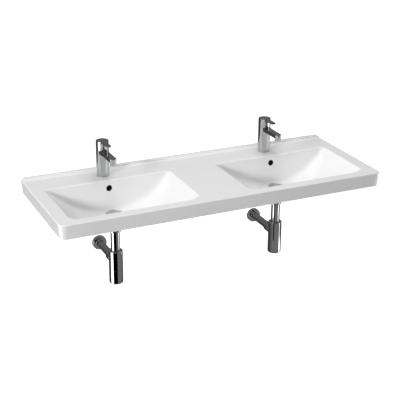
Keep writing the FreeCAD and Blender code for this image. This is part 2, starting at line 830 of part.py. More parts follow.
def cone_seal():
    z1 = boss_z
    r_in = waste_r + fit_clear
    return turned([(r_in, z1), (cone_seal_r, z1), (cone_seal_r, z1 - cone_seal_h / 2),
                   (r_in + waste_wall, z1 - cone_seal_h), (r_in, z1 - cone_seal_h)])


def back_nut():
    z1 = boss_z - cone_seal_h
    nut = hexagon(back_nut_af, z1 - back_nut_h, z1)
    return nut.cut(rod(waste_r + fit_clear, z1 - back_nut_h - cut_over, z1 + cut_over))


def waste_plug():
    z0 = flange_top + plug_gap
    edge_z = z0 + plug_t
    crown_r = (plug_r ** 2 + plug_dome ** 2) / (2 * plug_dome)
    ball = Part.makeSphere(crown_r, V(0, 0, edge_z + plug_dome - crown_r))
    crown = ball.common(rod(plug_r, z0, edge_z + 2 * plug_dome))
    spigot_z = z0 - plug_spigot_h
    ring_z = spigot_z + plug_spigot_h / 2
    spigot = rod(plug_spigot_r, spigot_z, z0)
    groove = Part.makeTorus(plug_ring_major, plug_ring_r + run_clear, V(0, 0, ring_z))
    stem = rod(plug_stem_r, z0 - plug_stem_l, spigot_z)
    return fused([crown, spigot.cut(groove), stem])


def plug_ring():
    ring_z = flange_top + plug_gap - plug_spigot_h / 2
    return Part.makeTorus(plug_ring_major, plug_ring_r, V(0, 0, ring_z))


def latch_sleeve():
    z0 = latch_top - latch_l
    bore = plug_stem_r + run_clear
    body = rod(latch_r, z0, latch_top)
    collar = ring(spider_hub_r, latch_r - run_clear, spider_z + spider_t, spider_z + 2 * spider_t)
    body = body.fuse(collar).removeSplitter()
    return body.cut(rod(bore, z0 + latch_floor, latch_top + cut_over))


def plug_spring():
    foot = latch_top - latch_l + latch_floor
    head = flange_top + plug_gap - plug_stem_l
    length = head - foot - 2 * spring_wire_r - 2 * run_clear
    pitch = length / spring_turns
    start = foot + spring_wire_r + run_clear
    path = Part.makeHelix(pitch, length, spring_r)
    path.translate(V(0, 0, start))
    section = Part.Wire([Part.Circle(V(spring_r, 0, start), V(0, 1, 0), spring_wire_r).toShape()])
    return Part.Wire(path.Edges).makePipeShell([section], True, True)


# The traps

def union_nut():
    z1 = waste_end + tube_flange_t + union_seal_t + union_lip
    low = waste_end - union_seal_t - tube_flange_t - union_gap - union_lip
    nut = rod(union_r, low, low + union_h)
    bore = rod(waste_r + fit_clear, low + union_lip, low + union_h + cut_over)
    hole = rod(tube_r + part_gap, low - cut_over, low + cut_over)
    nut = nut.cut(bore).cut(hole)
    rounded = edges_where(nut, lambda e: e.BoundBox.XLength > 2 * union_r - run_clear
                          and e.BoundBox.ZLength < run_clear)
    return nut.makeFillet(tube_wall / 2, rounded)


def union_seal():
    return ring(waste_r - run_clear, tube_r - tube_wall, waste_end - union_seal_t, waste_end)


def dip_tube():
    flange_z1 = waste_end - union_seal_t
    flange_z0 = flange_z1 - tube_flange_t - union_gap
    bottom = -bottle_bottom + dip_clear
    return turned([(tube_r - tube_wall, flange_z1), (waste_r - run_clear, flange_z1),
                   (waste_r - run_clear, flange_z0), (tube_r, flange_z0),
                   (tube_r, bottom), (tube_r - tube_wall, bottom)])


bottle_in_r = bottle_r - bottle_wall


def trap_body():
    top = -bottle_top
    low = -cup_split + part_gap / 3
    gland_z = top - mouth_recess - gland_h - gland_seal_h
    body = turned([(bottle_in_r, top), (bottle_r, top), (bottle_r, low), (bottle_in_r, low),
                   (bottle_in_r, gland_z - shoulder_t), (shoulder_r, gland_z - shoulder_t),
                   (shoulder_r, gland_z), (bottle_in_r, gland_z)])
    stub = rod_y(outlet_stub_r, 0, bottle_r + outlet_stub_l, 0, -outlet_z)
    stub = stub.cut(rod(bottle_in_r + bottle_wall / 2, -cup_split, top))
    body = body.fuse(stub)
    body = body.cut(rod_y(outlet_r + fit_clear, 0, bottle_r + outlet_stub_l + cut_over, 0, -outlet_z))
    rounded = edges_where(body, lambda e: e.BoundBox.ZMin > top - run_clear
                          and e.BoundBox.XLength > 2 * bottle_r - run_clear)
    return body.makeFillet(bottle_wall / 3, rounded).removeSplitter()


def gland_nut():
    z1 = -bottle_top - mouth_recess
    return ring(bottle_in_r - fit_clear, tube_r + part_gap, z1 - gland_h, z1)


def gland_seal():
    z1 = -bottle_top - mouth_recess - gland_h
    return ring(bottle_in_r - fit_clear, tube_r, z1 - gland_seal_h, z1)


def trap_cup():
    top = -cup_split
    low = -bottle_bottom
    spigot_r = bottle_in_r - fit_clear
    inner = spigot_r - cup_wall
    body = rod(bottle_r, low, top)
    rounded = edges_where(body, lambda e: e.BoundBox.ZMax < low + run_clear)
    body = body.makeFillet(bottle_edge_r, rounded)
    body = body.fuse(rod(spigot_r, top - cup_wall, top + cup_spigot_h)).removeSplitter()
    cavity = rod(inner, low + bottle_wall, top + cup_spigot_h + cut_over)
    floor_edge = edges_where(cavity, lambda e: e.BoundBox.ZMax < low + bottle_wall + run_clear)
    body = body.cut(cavity.makeFillet(bottle_edge_r - cup_wall, floor_edge))
    groove_z = top + cup_spigot_h / 2
    groove = ring(spigot_r + cut_over, spigot_r - cup_seal_t, groove_z, groove_z + cup_seal_h + run_clear)
    return body.cut(groove)


def cup_seal():
    groove_z = -cup_split + cup_spigot_h / 2
    spigot_r = bottle_in_r - fit_clear
    return ring(bottle_in_r, spigot_r - cup_seal_t, groove_z, groove_z + cup_seal_h)


stub_end = bottle_r + outlet_stub_l
collar_end = stub_end + outlet_seal_l + collar_lip


def outlet_collar():
    y0 = collar_end - collar_l
    collar = rod_y(collar_r, y0, collar_end, 0, -outlet_z)
    rounded = edges_where(collar, lambda e: e.BoundBox.XLength > 2 * collar_r - run_clear
                          and e.BoundBox.YLength < run_clear)
    collar = collar.makeFillet(outlet_wall, rounded)
    bore_end = collar_end - collar_lip
    collar = collar.cut(rod_y(outlet_stub_r + fit_clear, y0 - cut_over, bore_end, 0, -outlet_z))
    collar = collar.cut(rod_y(outlet_r + part_gap, y0, collar_end + cut_over, 0, -outlet_z))
    return collar.cut(rod(bottle_r + fit_clear, -cup_split, -bottle_top))


def outlet_seal():
    return ring_y(outlet_stub_r, outlet_r, stub_end, stub_end + outlet_seal_l, 0, -outlet_z)


def outlet_pipe():
    y0 = stub_end - outlet_insert
    y1 = drain_y + pipe_beyond_wall
    pipe = rod_y(outlet_r, y0, drain_y, 0, -outlet_z)
    pipe = pipe.fuse(rod_y(outlet_end_r, drain_y, y1, 0, -outlet_z))
    return pipe.cut(rod_y(outlet_r - outlet_wall, y0 - cut_over, y1 + cut_over, 0, -outlet_z))


def wall_cover():
    y0 = drain_y - cover_depth
    shell = rod_y(cover_r, y0, drain_y, 0, -outlet_z)
    front = edges_where(shell, lambda e: e.BoundBox.YMax < y0 + run_clear)
    shell = shell.makeFillet(cover_edge_r, front)
    neck = rod_y(outlet_r + cover_wall, y0 - cover_neck_l, drain_y - cover_depth / 2, 0, -outlet_z)
    inside = rod_y(cover_r - cover_wall, y0 + cover_wall, drain_y + cut_over, 0, -outlet_z)
    hole = rod_y(outlet_r + run_clear, y0 - cover_neck_l - cut_over, drain_y + cut_over, 0, -outlet_z)
    return shell.cut(inside).fuse(neck).removeSplitter().cut(hole)


# Node by node

def at(shape, x, y):
    moved = shape.copy()
    moved.translate(V(x, -y, 0))
    return moved


def listed(shape):
    return shape if isinstance(shape, list) else [shape]


sides = (("left", -bowl_x), ("right", bowl_x))

tap_pieces = {
    "mixer_body": mixer_body,
    "mixer_handle": mixer_handle,
    "handle_screw": handle_screw,
    "handle_plug": handle_plug,
    "dome_cover": dome_cover,
    "cartridge_carrier": cartridge_carrier,
    "hinge_pin": hinge_pin,
    "lever_stem": lever_stem,
    "moving_disc": moving_disc,
    "aerator_housing": aerator_housing,
}
drain_pieces = {
    "waste_body": waste_body,
    "waste_plug": waste_plug,
    "plug_ring": plug_ring,
    "plug_spring": plug_spring,
    "dip_tube": dip_tube,
    "trap_body": trap_body,
    "trap_cup": trap_cup,
    "outlet_pipe": outlet_pipe,
    "wall_cover": wall_cover,
}
tap_groups = {
    "cartridge_housings": cartridge_housing,
    "cartridge_seals": cartridge_seals,
    "fixed_discs": fixed_disc,
    "cartridge_nuts": cartridge_nut,
    "aerator_inserts": aerator_insert,
    "mixer_base_seals": base_seal,
    "fixing_studs": fixing_stud,
    "rubber_horseshoes": rubber_horseshoe,
    "steel_horseshoes": steel_horseshoe,
    "fixing_nuts": fixing_nut,
}
drain_groups = {
    "flange_seals": flange_seal,
    "cone_seals": cone_seal,
    "back_nuts": back_nut,
    "latch_sleeves": latch_sleeve,
    "union_nuts": union_nut,
    "union_seals": union_seal,
    "gland_nuts": gland_nut,
    "gland_seals": gland_seal,
    "cup_seals": cup_seal,
    "outlet_collars": outlet_collar,
    "outlet_seals": outlet_seal,
}

save("washbasin", washbasin())
for table, y in ((tap_pieces, tap_y), (drain_pieces, drain_y)):
    for name, make in table.items():
        shape = make()
        for side, x in sides:
            save(side + "_" + name, at(shape, x, y))
for table, y in ((tap_groups, tap_y), (drain_groups, drain_y)):
    for name, make in table.items():
        shapes = listed(make())
        save(name, [at(shape, x, y) for side, x in sides for shape in shapes])
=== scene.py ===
# %% [markdown]
# A double washbasin, dressed for its portrait
# The construction model already holds every piece of the washbasin in its true
# place. This lesson loads it as a fixed frame, gives each piece its finish, and
# remakes the pieces that the eye rests on with cleaner, finer meshes. All
# lengths are in metres, X to the right, Y to the wall and Z up.

import math

import bmesh
import bpy
from mathutils import Matrix, Vector


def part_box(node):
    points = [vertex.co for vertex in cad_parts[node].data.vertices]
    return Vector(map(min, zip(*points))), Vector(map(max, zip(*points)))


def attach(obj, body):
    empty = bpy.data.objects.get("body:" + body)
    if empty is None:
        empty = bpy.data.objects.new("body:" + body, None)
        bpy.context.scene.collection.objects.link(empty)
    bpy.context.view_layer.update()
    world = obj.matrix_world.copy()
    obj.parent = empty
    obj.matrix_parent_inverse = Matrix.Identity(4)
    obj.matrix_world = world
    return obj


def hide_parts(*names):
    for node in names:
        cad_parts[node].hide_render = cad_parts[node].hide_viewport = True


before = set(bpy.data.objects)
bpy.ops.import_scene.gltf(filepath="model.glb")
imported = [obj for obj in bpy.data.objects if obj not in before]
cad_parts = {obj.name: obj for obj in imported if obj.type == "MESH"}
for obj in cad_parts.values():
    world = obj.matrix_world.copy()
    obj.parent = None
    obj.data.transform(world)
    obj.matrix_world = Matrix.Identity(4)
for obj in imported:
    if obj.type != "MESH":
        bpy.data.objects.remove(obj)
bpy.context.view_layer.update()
bowl_centre = 0.348
sides = {"left": -bowl_centre, "right": bowl_centre}

# %% [markdown]
# The camera
# The photograph was taken from the left and a little above, with a longish
# lens, so that the two bowls are seen into. A constraint could aim the camera
# at a point, but it would lose the photograph's very small roll. So the
# camera's own axes are written out, and a matrix of them sets place and roll.

# %% Place the camera
eye = Vector((-1.5455, -3.5413, 1.3832))
right = Vector((0.90704, -0.42104, 0.0))
up = Vector((0.15875, 0.34198, 0.92620))
back = right.cross(up)
roll = math.radians(0.38)

camera_data = bpy.data.cameras.new("portrait_camera")
camera_data.sensor_width = 36.0
camera_data.lens = 91.46
camera_data.clip_start = 0.05
camera_data.clip_end = 60.0
camera = bpy.data.objects.new("portrait_camera", camera_data)
bpy.context.scene.collection.objects.link(camera)
bpy.context.scene.camera = camera

turned_right = right * math.cos(roll) + up * math.sin(roll)
turned_up = up * math.cos(roll) - right * math.sin(roll)
axes = Matrix((turned_right, turned_up, back)).transposed().to_4x4()
camera.matrix_world = Matrix.Translation(eye) @ axes
bpy.context.scene.view_settings.view_transform = "Standard"
print("lens", camera_data.lens, "distance", round(eye.length, 3))

# %% [markdown]
# Small helpers for materials
# Every finish below is a node tree, which could be built by hand in the shader
# editor. In a script a painter's shorthand keeps each tree short: feed fills
# one socket, add makes a node and feeds its inputs, and the others do the same
# for the few kinds of node that come up again and again.

# %% Add and feed nodes
def new_tree(name):
    material = bpy.data.materials.new(name)
    material.use_nodes = True
    tree = material.node_tree
    tree.nodes.clear()
    output = tree.nodes.new("ShaderNodeOutputMaterial")
    shader = tree.nodes.new("ShaderNodeBsdfPrincipled")
    tree.links.new(shader.outputs["BSDF"], output.inputs["Surface"])
    return material, tree, shader


def feed(tree, socket, value):
    """Joins a socket to another node's output, or sets its plain value."""
    if isinstance(value, bpy.types.NodeSocket):
        tree.links.new(value, socket)
    else:
        socket.default_value = value


def add(tree, kind, operation=None, **values):
    """Adds a node. A key names an input, or is its number after the letter i."""
    node = tree.nodes.new("ShaderNode" + kind)
    if operation:
        node.operation = operation
    for key, value in values.items():
        index = int(key[1:]) if key[0] == "i" and key[1:].isdigit() else key.replace("_", " ")
        feed(tree, node.inputs[index], value)
    return node


print("materials that came with the frame", len(bpy.data.materials))

# %% Mix and colour
def mix_colours(tree, factor, first, second):
    node = tree.nodes.new("ShaderNodeMix")
    node.data_type = "RGBA"
    feed(tree, node.inputs["Factor"], factor)
    feed(tree, node.inputs[6], first)
    feed(tree, node.inputs[7], second)
    return node.outputs[2]


def ramp(tree, factor, stops):
    """A colour ramp. Each stop is its place and a grey or a colour."""
    node = tree.nodes.new("ShaderNodeValToRGB")
    elements = node.color_ramp.elements
    while len(elements) < len(stops):
        elements.new(0.5)
    for element, (place, shade) in zip(elements, stops):
        element.position = place
        element.color = (*shade, 1.0) if isinstance(shade, tuple) else (shade, shade, shade, 1.0)
    tree.links.new(factor, node.inputs["Fac"])
    return node.outputs["Color"]

# %% Grain and relief
def grain(tree, scale, detail=2.0, stretch=(1.0, 1.0, 1.0)):
    """Noise on object coordinates, with a scale in cycles per metre."""
    coords = tree.nodes.new("ShaderNodeTexCoord")
    place = add(tree, "Mapping", Vector=coords.outputs["Object"], Scale=stretch)
    noise = add(tree, "TexNoise", Vector=place.outputs["Vector"], Scale=scale, Detail=detail)
    return noise.outputs["Fac"]


def bump(tree, shader, height, distance, strength):
    node = add(tree, "Bump", Strength=strength, Distance=distance, Height=height)
    tree.links.new(node.outputs["Normal"], shader.inputs["Normal"])

# %% [markdown]
# Sanitary glaze
# Vitreous china is a white body under a thick glassy glaze. The glaze levels in
# the kiln but never perfectly, so its gloss carries a slow ripple of a few
# hundredths of a millimetre, and it is a touch warmer where it runs thick. The
# face that stands on the wall is wiped before firing, and stays bare and matt.
# The overflow passage behind each bowl takes hardly any glaze. Its skin is found by its place and
# coloured near black. This is painted shade for the dark deep inside the passage.

# %% Find the overflow passages
passage_half_width = 0.0195
passage_top = -0.016
wall_lean = 0.1709
bowl_wall = -0.1370
painted_shade_full = -0.1330
passage_back = -0.1105


def painted_shade_mask(tree, parts):
    """Where the painted shade goes: one inside the passages, nought elsewhere, and a short blend at the
    bowl.
    """
    across = add(tree, "Math", "ABSOLUTE", i0=parts.outputs["X"])
    aside = add(tree, "Math", "SUBTRACT", i0=across.outputs[0], i1=bowl_centre)
    beside = add(tree, "Math", "ABSOLUTE", i0=aside.outputs[0])
    within = add(tree, "Math", "LESS_THAN", i0=beside.outputs[0], i1=passage_half_width)
    lean = add(tree, "Math", "MULTIPLY", i0=parts.outputs["Z"], i1=wall_lean)
    face = add(tree, "Math", "SUBTRACT", i0=parts.outputs["Y"], i1=lean.outputs[0])
    near = add(tree, "Math", "LESS_THAN", i0=face.outputs[0], i1=passage_back)
    below = add(tree, "Math", "LESS_THAN", i0=parts.outputs["Z"], i1=passage_top)
    depth = add(tree, "MapRange", Value=face.outputs[0], From_Min=bowl_wall, From_Max=painted_shade_full)
    mask = within.outputs[0]
    for test in (near.outputs[0], below.outputs[0], depth.outputs["Result"]):
        mask = add(tree, "Math", "MULTIPLY", i0=mask, i1=test).outputs[0]
    return mask


print("passages", round(passage_half_width * 2000), "mm wide at x", sorted(sides.values()))

# %% Make the glaze
bare_from = -0.0016
bare_to = -0.0004
bare_roughness = 0.7
# Painted shade: the near-black colour given to the inside of the overflow passages.
painted_passage_shade = (0.05, 0.048, 0.045, 1.0)


def make_glaze():
    material, tree, shader = new_tree("sanitary_glaze")
    slow = grain(tree, 9.0)
    fine = grain(tree, 85.0)
    speck = grain(tree, 900.0, 3.0)
    coords = tree.nodes.new("ShaderNodeTexCoord")
    parts = add(tree, "SeparateXYZ", Vector=coords.outputs["Object"])
    bare = add(tree, "MapRange", Value=parts.outputs["Y"], From_Min=bare_from, From_Max=bare_to)
    glassy = ramp(tree, slow, [(0.30, (0.815, 0.817, 0.813)), (0.70, (0.837, 0.838, 0.834))])
    biscuit = ramp(tree, speck, [(0.35, (0.74, 0.72, 0.67)), (0.65, (0.82, 0.80, 0.75))])
    skin = mix_colours(tree, bare.outputs["Result"], glassy, biscuit)
    # Painted shade: the passages' skin is mixed to near black, with full shade from painted_shade_full
    # inwards.
    colour = mix_colours(tree, painted_shade_mask(tree, parts), skin, painted_passage_shade)
    tree.links.new(colour, shader.inputs["Base Color"])
    gloss = add(tree, "MapRange", Value=fine, To_Min=0.07, To_Max=0.13)
    matt = add(tree, "Math", "MULTIPLY", i0=bare.outputs["Result"], i1=bare_roughness)
    both = add(tree, "Math", "MAXIMUM", i0=gloss.outputs["Result"], i1=matt.outputs[0])
    tree.links.new(both.outputs[0], shader.inputs["Roughness"])
    bump(tree, shader, slow, 0.0004, 0.25)
    shader.inputs["IOR"].default_value = 1.5
    print(material.name, "nodes", len(tree.nodes))
    return material


glaze = make_glaze()

# %% [markdown]
# Metals
# Chrome plate is a near perfect mirror. What tells it from a drawn mirror is a
# very faint haze from polishing, a little stronger in some places, and a tiny
# waviness. Turned brass and rolled steel are plainer metals that keep the marks
# of the tool, finer along one way than across it. A picture of worn metal could
# be laid over them, but noise has no seams and fits every size of piece.

# %% Make the metals
def wear(tree, shader, low, high, rough, tint_grain, gloss_grain, relief, strength):
    """Lets one grain tint a finish, and another set its gloss and relief."""
    tint = ramp(tree, tint_grain, [(0.3, low), (0.7, high)])
    tree.links.new(tint, shader.inputs["Base Color"])
    gloss = add(tree, "MapRange", Value=gloss_grain, To_Min=rough[0], To_Max=rough[1])
    tree.links.new(gloss.outputs["Result"], shader.inputs["Roughness"])
    bump(tree, shader, gloss_grain, relief, strength)


def make_metal(name, low, high, rough, scale, relief, stretch=(1.0, 1.0, 1.0)):
    material, tree, shader = new_tree(name)
    shader.inputs["Metallic"].default_value = 1.0
    slow = grain(tree, scale, 2.0, stretch)
    haze = grain(tree, scale * 6.0, 3.0, stretch)
    wear(tree, shader, low, high, rough, slow, haze, relief, 0.2)
    print(name, "roughness", rough)
    return material


metals = {
    "chrome": make_metal("chrome_plate", (0.53, 0.535, 0.545), (0.57, 0.575, 0.58),
                         (0.030, 0.060), 30.0, 0.00001),
    "brass": make_metal("turned_brass", (0.66, 0.50, 0.24), (0.76, 0.60, 0.32),
                        (0.22, 0.36), 160.0, 0.00003, (1.0, 1.0, 9.0)),
    "steel": make_metal("rolled_steel", (0.52, 0.52, 0.53), (0.64, 0.64, 0.65),
                        (0.26, 0.40), 220.0, 0.00003, (1.0, 12.0, 1.0)),
}

# %% [markdown]
# Dull stuffs
# Seals are moulded rubber, nearly black and matt. The aerators' inserts and a
# few hidden parts are moulded plastic, and the valve's two discs are ceramic,
# lapped flat. They could have two layers like the metals, but none of them
# shines enough to need it, so one fine grain gives colour, gloss and relief.

# %% Make the dull stuffs
def make_dull(name, low, high, rough, scale, relief):
    material, tree, shader = new_tree(name)
    fine = grain(tree, scale, 4.0)
    wear(tree, shader, low, high, rough, fine, fine, relief, 0.4)
    print(name, "roughness", rough)
    return material


dull_stuffs = {
    "seal_rubber": make_dull("seal_rubber", (0.020, 0.020, 0.021), (0.045, 0.045, 0.046),
                             (0.62, 0.78), 900.0, 0.00005),
    "plastic": make_dull("moulded_plastic", (0.74, 0.74, 0.72), (0.80, 0.80, 0.78),
                         (0.34, 0.48), 600.0, 0.00003),
    "disc_ceramic": make_dull("lapped_ceramic", (0.84, 0.82, 0.77), (0.90, 0.88, 0.84),
                              (0.16, 0.28), 700.0, 0.00001),
}

# %% [markdown]
# One finish for each slot
# The construction model names a slot for every node, such as chrome or seal
# rubber. Each node could be painted by its own name, but a table under the
# slots' names is shorter, and all pieces of one stuff then look alike.

# %% Fill the slots
finishes = {"ceramic": glaze, **metals, **dull_stuffs}
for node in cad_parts.values():
    for place in node.material_slots:
        key = place.material.name.split(".")[0]
        place.material = finishes[key]
print("finishes", sorted(finishes))

# %% [markdown]
# Turned pieces
# Traps, tubes, collars and covers are turned on a lathe or drawn round, so each
# could be cut from a cylinder or carved by booleans. Spinning one profile is
# nearer to the real work: the outline is drawn once as a closed loop, its
# corners are eased with a small bevel, and the spin sweeps it round. The chrome
# then runs without a facet from edge to edge.

# %% Spin a profile
spin_steps = 128
small_ease = 0.002
lay_along_y = Matrix(((1.0, 0.0, 0.0), (0.0, 0.0, 1.0), (0.0, -1.0, 0.0))).to_4x4()


def spin_profile(shape, profile, centre, along="Z"):
    """Adds a body of revolution to a bmesh, from a closed loop of corners.

    Each corner is its radius, its distance along the axis and its easing. A
    loop that starts and ends on the axis is closed by the axis itself.
    """
    loop = [shape.verts.new((r, 0.0, z)) for r, z, ease in profile]
    on_axis = profile[0][0] == 0.0 and profile[-1][0] == 0.0
    for here, there in zip(loop, loop[1:] + ([] if on_axis else loop[:1])):
        shape.edges.new((here, there))
    old = set(shape.verts) - set(loop)
    for width in sorted({ease for r, z, ease in profile if ease > 0}):
        chosen = [v for v, corner in zip(loop, profile) if corner[2] == width]
        bmesh.ops.bevel(shape, geom=chosen, offset=width, offset_type="OFFSET", affect="VERTICES",
                        segments=4 if width < small_ease else 10, profile=0.5, material=-1)
    line = [v for v in shape.verts if v not in old]
    edges = [e for e in shape.edges if e.verts[0] not in old]
    bmesh.ops.spin(shape, geom=line + edges, cent=(0.0, 0.0, 0.0), axis=(0.0, 0.0, 1.0),
                   dvec=(0.0, 0.0, 0.0), angle=2 * math.pi, steps=spin_steps, use_merge=True)
    new = [v for v in shape.verts if v not in old]
    if along == "Y":
        bmesh.ops.transform(shape, matrix=lay_along_y, verts=new)
    bmesh.ops.translate(shape, vec=centre, verts=new)


print("one step of a spin", 360 / spin_steps, "degrees")

# %% Finish a piece
touching = 1e-7
sharp_edge = math.radians(32.0)


def finished(name, shape):
    """An object at the origin, smooth but for its hard edges."""
    bmesh.ops.remove_doubles(shape, verts=shape.verts, dist=touching)
    bmesh.ops.recalc_face_normals(shape, faces=shape.faces)
    for face in shape.faces:
        face.smooth = True
    mesh = bpy.data.meshes.new(name)
    shape.to_mesh(mesh)
    shape.free()
    mesh.set_sharp_from_angle(angle=sharp_edge)
    piece = bpy.data.objects.new(name, mesh)
    bpy.context.scene.collection.objects.link(piece)
    even = piece.modifiers.new("even_shading", "WEIGHTED_NORMAL")
    even.keep_sharp = True
    return piece


def size_in_mm(piece):
    places = [v.co for v in piece.data.vertices]
    spans = [max(p[i] for p in places) - min(p[i] for p in places) for i in range(3)]
    return [round(span * 1000, 1) for span in spans]


def stands_for(piece, slot, node):
    """Gives a fixed piece its finish, and lets it take a node's place."""
    piece.data.materials.append(finishes[slot])
    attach(piece, "basin")
    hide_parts(node)
    print(piece.name, "faces", len(piece.data.polygons), "mm", size_in_mm(piece))


print("edges stay hard from", round(math.degrees(sharp_edge)), "degrees")

# %% [markdown]
# The bottle traps
# A bottle trap holds the water that seals off the drain. The tail tube of the
# waste dips into a chromed bottle, whose lower half unscrews for cleaning. Both
# halves are thin shells, so the profile runs up the outside and back down the
# inside, with a soft edge at the mouth and a rounder one at the foot. The short
# socket on the side of the upper half takes the pipe to the wall.

# %% Make the upper halves
shell = 0.0025
ledge_depth = 0.0111
ledge_thick = 0.003
ledge_inset = 0.008
socket_r = 0.0172
socket_bore = 0.0152
socket_lap = 0.0015


def make_bottle(side, x):
    cup_low, cup_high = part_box(side + "_trap_cup")
    low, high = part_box(side + "_trap_body")
    pipe_low, pipe_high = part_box(side + "_outlet_pipe")
    r = (cup_high.x - cup_low.x) / 2
    axis_y = (cup_low.y + cup_high.y) / 2
    ledge = high.z - ledge_depth
    bottle = bmesh.new()
    spin_profile(bottle, [
        (r, low.z, 0.0003), (r, high.z, 0.0008), (r - shell, high.z, 0.0004),
        (r - shell, ledge, 0.0), (r - ledge_inset, ledge, 0.0),
        (r - ledge_inset, ledge - ledge_thick, 0.0), (r - shell, ledge - ledge_thick, 0.0),
        (r - shell, low.z, 0.0),
    ], (x, axis_y, 0.0))
    root = r - socket_lap
    end = high.y - axis_y
    spin_profile(bottle, [
        (socket_r, root, 0.0), (socket_r, end, 0.0004), (socket_bore, end, 0.0), (socket_bore, root, 0.0),
    ], (x, axis_y, (pipe_low.z + pipe_high.z) / 2), "Y")
    stands_for(finished(side + "_bottle", bottle), "chrome", side + "_trap_body")

# %% Make the feet
hair = 0.0002
neck_inset = 0.0026
neck_wall = 0.002
foot_thick = 0.0025
foot_round = 0.006


def make_foot(side, x):
    low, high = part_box(side + "_trap_cup")
    r = (high.x - low.x) / 2
    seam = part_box(side + "_trap_body")[0].z - hair
    neck_r = r - neck_inset
    bore_r = neck_r - neck_wall
    floor_z = low.z + foot_thick
    cup = bmesh.new()
    spin_profile(cup, [
        (0.0, low.z, 0.0), (r, low.z, foot_round), (r, seam, 0.0003), (neck_r, seam, 0.0),
        (neck_r, high.z, 0.0003), (bore_r, high.z, 0.0003), (bore_r, floor_z, 0.004), (0.0, floor_z, 0.0),
    ], (x, (low.y + high.y) / 2, 0.0))
    stands_for(finished(side + "_bottle_foot", cup), "chrome", side + "_trap_cup")


for side, x in sides.items():
    make_bottle(side, x)
    make_foot(side, x)

# %% [markdown]
# Tail tubes and outlet pipes
# Both are drawn brass tube, chromed. The tail tube has a flared collar at its
# head, which the union nut grips. The outlet pipe runs level to the wall and on
# into the drain socket, where it is a hair thinner to slide in. A tube's wall
# is part of its profile, so its cut end shows a true edge.

# %% Make the tubes
tube_r = 0.018
tube_wall = 0.0012
flare_thick = 0.0026
pipe_wall = 0.001
pipe_taper = 0.0002


def make_tail_tube(side, x):
    low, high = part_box(side + "_dip_tube")
    flare_r = (high.x - low.x) / 2
    flare = high.z - flare_thick
    bore_r = tube_r - tube_wall
    tube = bmesh.new()
    spin_profile(tube, [
        (tube_r, low.z, 0.0002), (tube_r, flare, 0.0), (flare_r, flare, 0.0003),
        (flare_r, high.z, 0.0003), (bore_r, high.z, 0.0), (bore_r, low.z, 0.0002),
    ], (x, (low.y + high.y) / 2, 0.0))
    stands_for(finished(side + "_tail_tube", tube), "chrome", side + "_dip_tube")


def make_waste_pipe(side, x):
    low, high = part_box(side + "_outlet_pipe")
    r = (high.z - low.z) / 2
    pipe = bmesh.new()
    spin_profile(pipe, [
        (r, low.y, 0.0002), (r, 0.0, 0.0), (r - pipe_taper, 0.0, 0.0),
        (r - pipe_taper, high.y, 0.0004), (r - pipe_wall, high.y, 0.0), (r - pipe_wall, low.y, 0.0),
    ], (x, 0.0, (low.z + high.z) / 2), "Y")
    stands_for(finished(side + "_waste_pipe", pipe), "chrome", side + "_outlet_pipe")


for side, x in sides.items():
    make_tail_tube(side, x)
    make_waste_pipe(side, x)

# %% [markdown]
# Wall covers
# The cover hides the rough hole in the tiles where the pipe enters the wall. It
# is pressed from thin sheet, with its edge rolled over and a short neck round
# the pipe. A plain disc would do from afar, but the rolled edge and the neck
# each catch a line of light, so both are in the profile.

# %% Make the wall covers
neck_length = 0.002
cover_neck_r = 0.0162
cover_bore = 0.0151
cover_sheet = 0.0012


def make_cover(side, x):
    low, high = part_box(side + "_wall_cover")
    r = (high.x - low.x) / 2
    front = low.y + neck_length
    inside = front + cover_sheet
    cover = bmesh.new()
    spin_profile(cover, [
        (r, high.y, 0.0003), (r, front, 0.002), (cover_neck_r, front, 0.0006),
        (cover_neck_r, low.y, 0.0003), (cover_bore, low.y, 0.0), (cover_bore, inside, 0.0),
        (r - cover_sheet, inside, 0.001), (r - cover_sheet, high.y, 0.0),
    ], (x, 0.0, (low.z + high.z) / 2), "Y")
    stands_for(finished(side + "_pipe_cover", cover), "chrome", side + "_wall_cover")


for side, x in sides.items():
    make_cover(side, x)

# %% [markdown]
# Collars and nuts
# A collar clamps the pipe in its socket, a union nut holds the tail tube under
# the waste, and a gland nut closes the bottle's mouth round the tube. In the
# construction model the left one and the right one share a node. Two meshes
# could stand for it, but one mesh for the pair keeps to the same list of names.

# %% Make the outlet collars
pipe_bore = 0.0153
seal_r = 0.0173
seal_seat = 0.003


def ring_pair(node, profile, along):
    """The same turned ring on both sides, as one piece like its node."""
    low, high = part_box(node)
    pair = bmesh.new()
    for x in sides.values():
        centre = (x, 0.0, (low.z + high.z) / 2) if along == "Y" else (x, (low.y + high.y) / 2, 0.0)
        spin_profile(pair, profile(low, high), centre, along)
    stands_for(finished(node + "_turned", pair), "chrome", node)


def collar_profile(low, high):
    r = (high.z - low.z) / 2
    seat = high.y - seal_seat
    return [(r, low.y, 0.001), (r, high.y, 0.001), (pipe_bore, high.y, 0.0003), (pipe_bore, seat, 0.0),
            (seal_r, seat, 0.0), (seal_r, low.y, 0.0003)]


ring_pair("outlet_collars", collar_profile, "Y")

# %% Make the union nuts
tail_bore = 0.0183
flare_bore = 0.021
nut_floor = 0.0025
groove_up = 0.0045
groove_deep = 0.0007


def union_profile(low, high):
    r = (high.y - low.y) / 2
    groove = low.z + groove_up
    seat = low.z + nut_floor
    return [(r, low.z, 0.0006), (r, groove, 0.0002), (r - groove_deep, groove + groove_deep, 0.0),
            (r, groove + 2 * groove_deep, 0.0002), (r, high.z, 0.0006), (flare_bore, high.z, 0.0003),
            (flare_bore, seat, 0.0), (tail_bore, seat, 0.0), (tail_bore, low.z, 0.0003)]


ring_pair("union_nuts", union_profile, "Z")

# %% Make the gland nuts
def gland_profile(low, high):
    r = (high.y - low.y) / 2
    return [(r, low.z, 0.0), (r, high.z, 0.0004), (tail_bore, high.z, 0.0004), (tail_bore, low.z, 0.0)]


ring_pair("gland_nuts", gland_profile, "Z")

